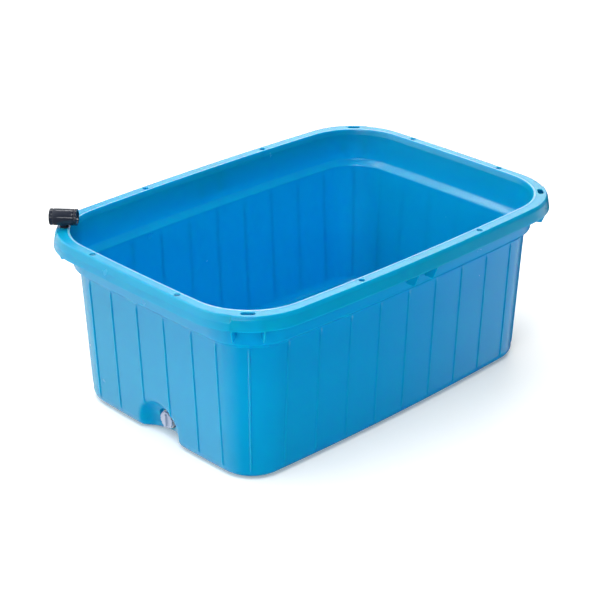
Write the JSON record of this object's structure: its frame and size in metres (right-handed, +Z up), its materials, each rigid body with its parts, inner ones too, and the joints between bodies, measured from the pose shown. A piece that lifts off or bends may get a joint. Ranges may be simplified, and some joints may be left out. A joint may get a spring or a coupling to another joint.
{
  "type": "livestock water trough",
  "caption": "Open moulded tub with a flared stiffening rim, a swivelling inlet tee on one corner and a screw-in drain plug in a low end recess.",
  "frame": {"origin": "centre of the footprint, on the ground", "axes": "+X along the length away from the drain end, +Y across the width towards the tee's side, +Z up"},
  "size_m": [1.0228, 0.7248, 0.4467],
  "materials": {
    "tub": "satin moulded polyethylene",
    "tee": "glossy black moulding",
    "peg": "moulded nylon",
    "washer": "plain stainless",
    "bush": "moulded nylon",
    "drain": "pale grey moulding",
    "plug": "pale grey moulding",
    "gasket": "matt rubber"
  },
  "bodies": {
    "tub": {"tub_shell": "tub", "rim_bush": "bush", "drain_body": "drain", "drain_outer_gasket": "gasket", "drain_inner_gasket": "gasket", "drain_back_nut": "drain"},
    "tee": {"inlet_tee": "tee", "tee_peg": "peg", "peg_washer": "washer", "peg_nut": "peg"},
    "plug_lift": {"drain_plug_seal": "gasket"},
    "plug": {"drain_plug": "plug"}
  },
  "joints": [
    {"name": "tee_swivel", "type": "hinge", "parent": "tub", "child": "tee", "pos_m": [-0.44504, 0.29109, 0.404], "axis": [0, 0, 1], "continuous": true},
    {"name": "plug_travel", "type": "slide", "parent": "tub", "child": "plug_lift", "axis": [-1, 0, 0], "range_m": [0, 0.0109]},
    {"name": "plug_turn", "type": "hinge", "parent": "plug_lift", "child": "plug", "pos_m": [-0.418, 0, 0.039], "axis": [-1, 0, 0], "range_deg": [0, 2160]}
  ],
  "couplings": [
    {"joint": "plug_travel", "follows": "plug_turn", "m_per_rad": 0.00028871}
  ]
}
